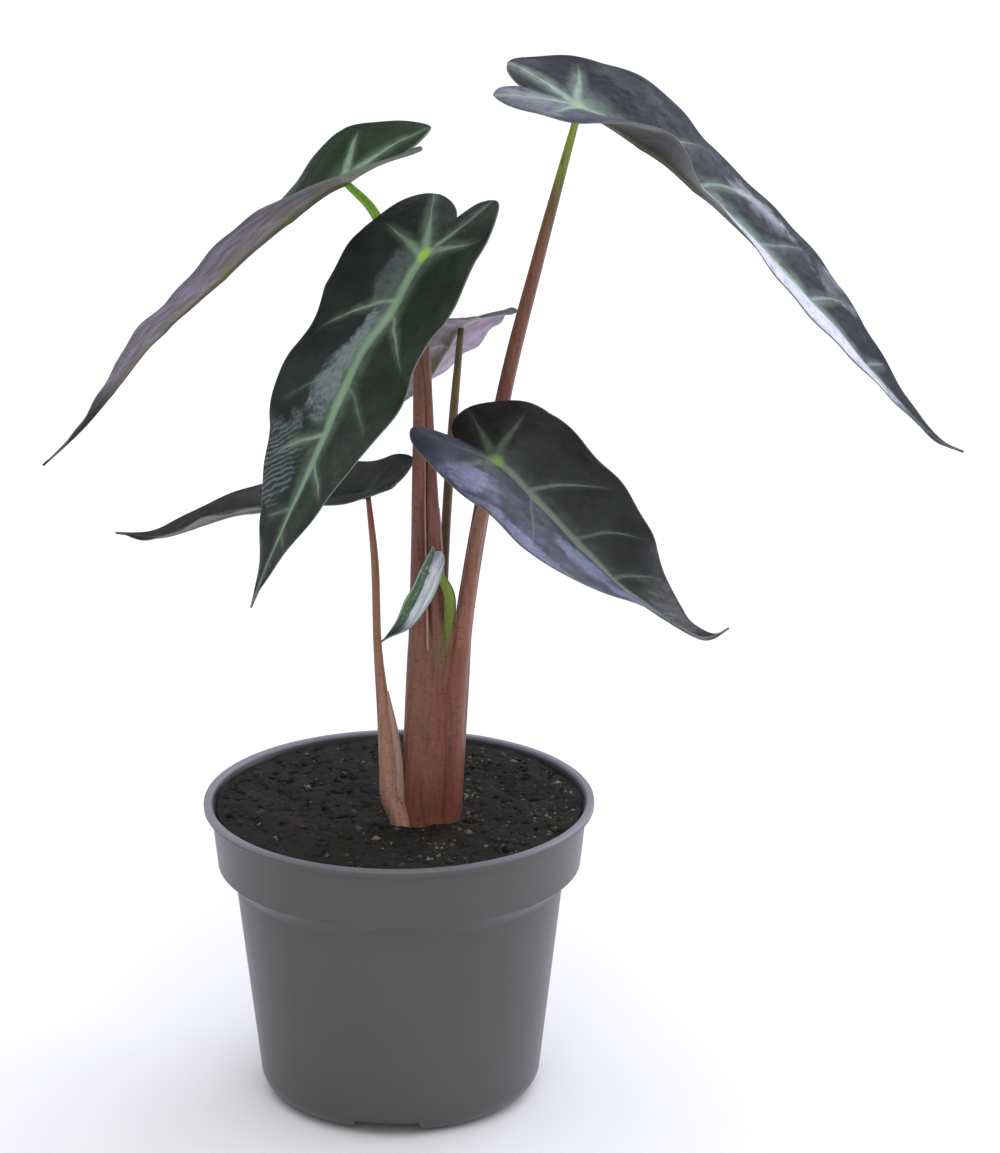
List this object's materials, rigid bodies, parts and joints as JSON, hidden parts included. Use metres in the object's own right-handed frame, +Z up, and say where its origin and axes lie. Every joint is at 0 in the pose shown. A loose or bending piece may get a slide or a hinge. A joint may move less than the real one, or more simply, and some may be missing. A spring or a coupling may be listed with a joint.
{
  "type": "potted alocasia polly",
  "caption": "Young arrow-leaved alocasia with dark pale-veined blades on long stalks, growing in soil in a round grey nursery pot with a collar and drain channels.",
  "frame": {"origin": "centre of the pot's underside, on the plane the pot stands on", "axes": "+Z up the pot's axis, -Y towards the front that the picture shows, +X to that view's right"},
  "size_m": [0.2793, 0.1298, 0.324],
  "materials": {
    "pot": "matte moulded grey",
    "soil": "damp, crumbly",
    "corm": "fibrous",
    "petiole": "smooth, faint flecks",
    "blade": "satin, pale veins",
    "new_blade": "satin"
  },
  "bodies": {
    "root": {"pot": "pot", "soil": "soil", "corm": "corm", "leaf_new": "new_blade", "petiole_new": "petiole", "leaf_front": "blade", "petiole_front": "petiole", "leaf_back": "blade", "petiole_back": "petiole", "leaf_top_right": "blade", "petiole_top_right": "petiole", "leaf_top_left": "blade", "petiole_top_left": "petiole", "leaf_right": "blade", "petiole_right": "petiole", "leaf_left": "blade", "petiole_left": "petiole"}
  },
  "joints": []
}
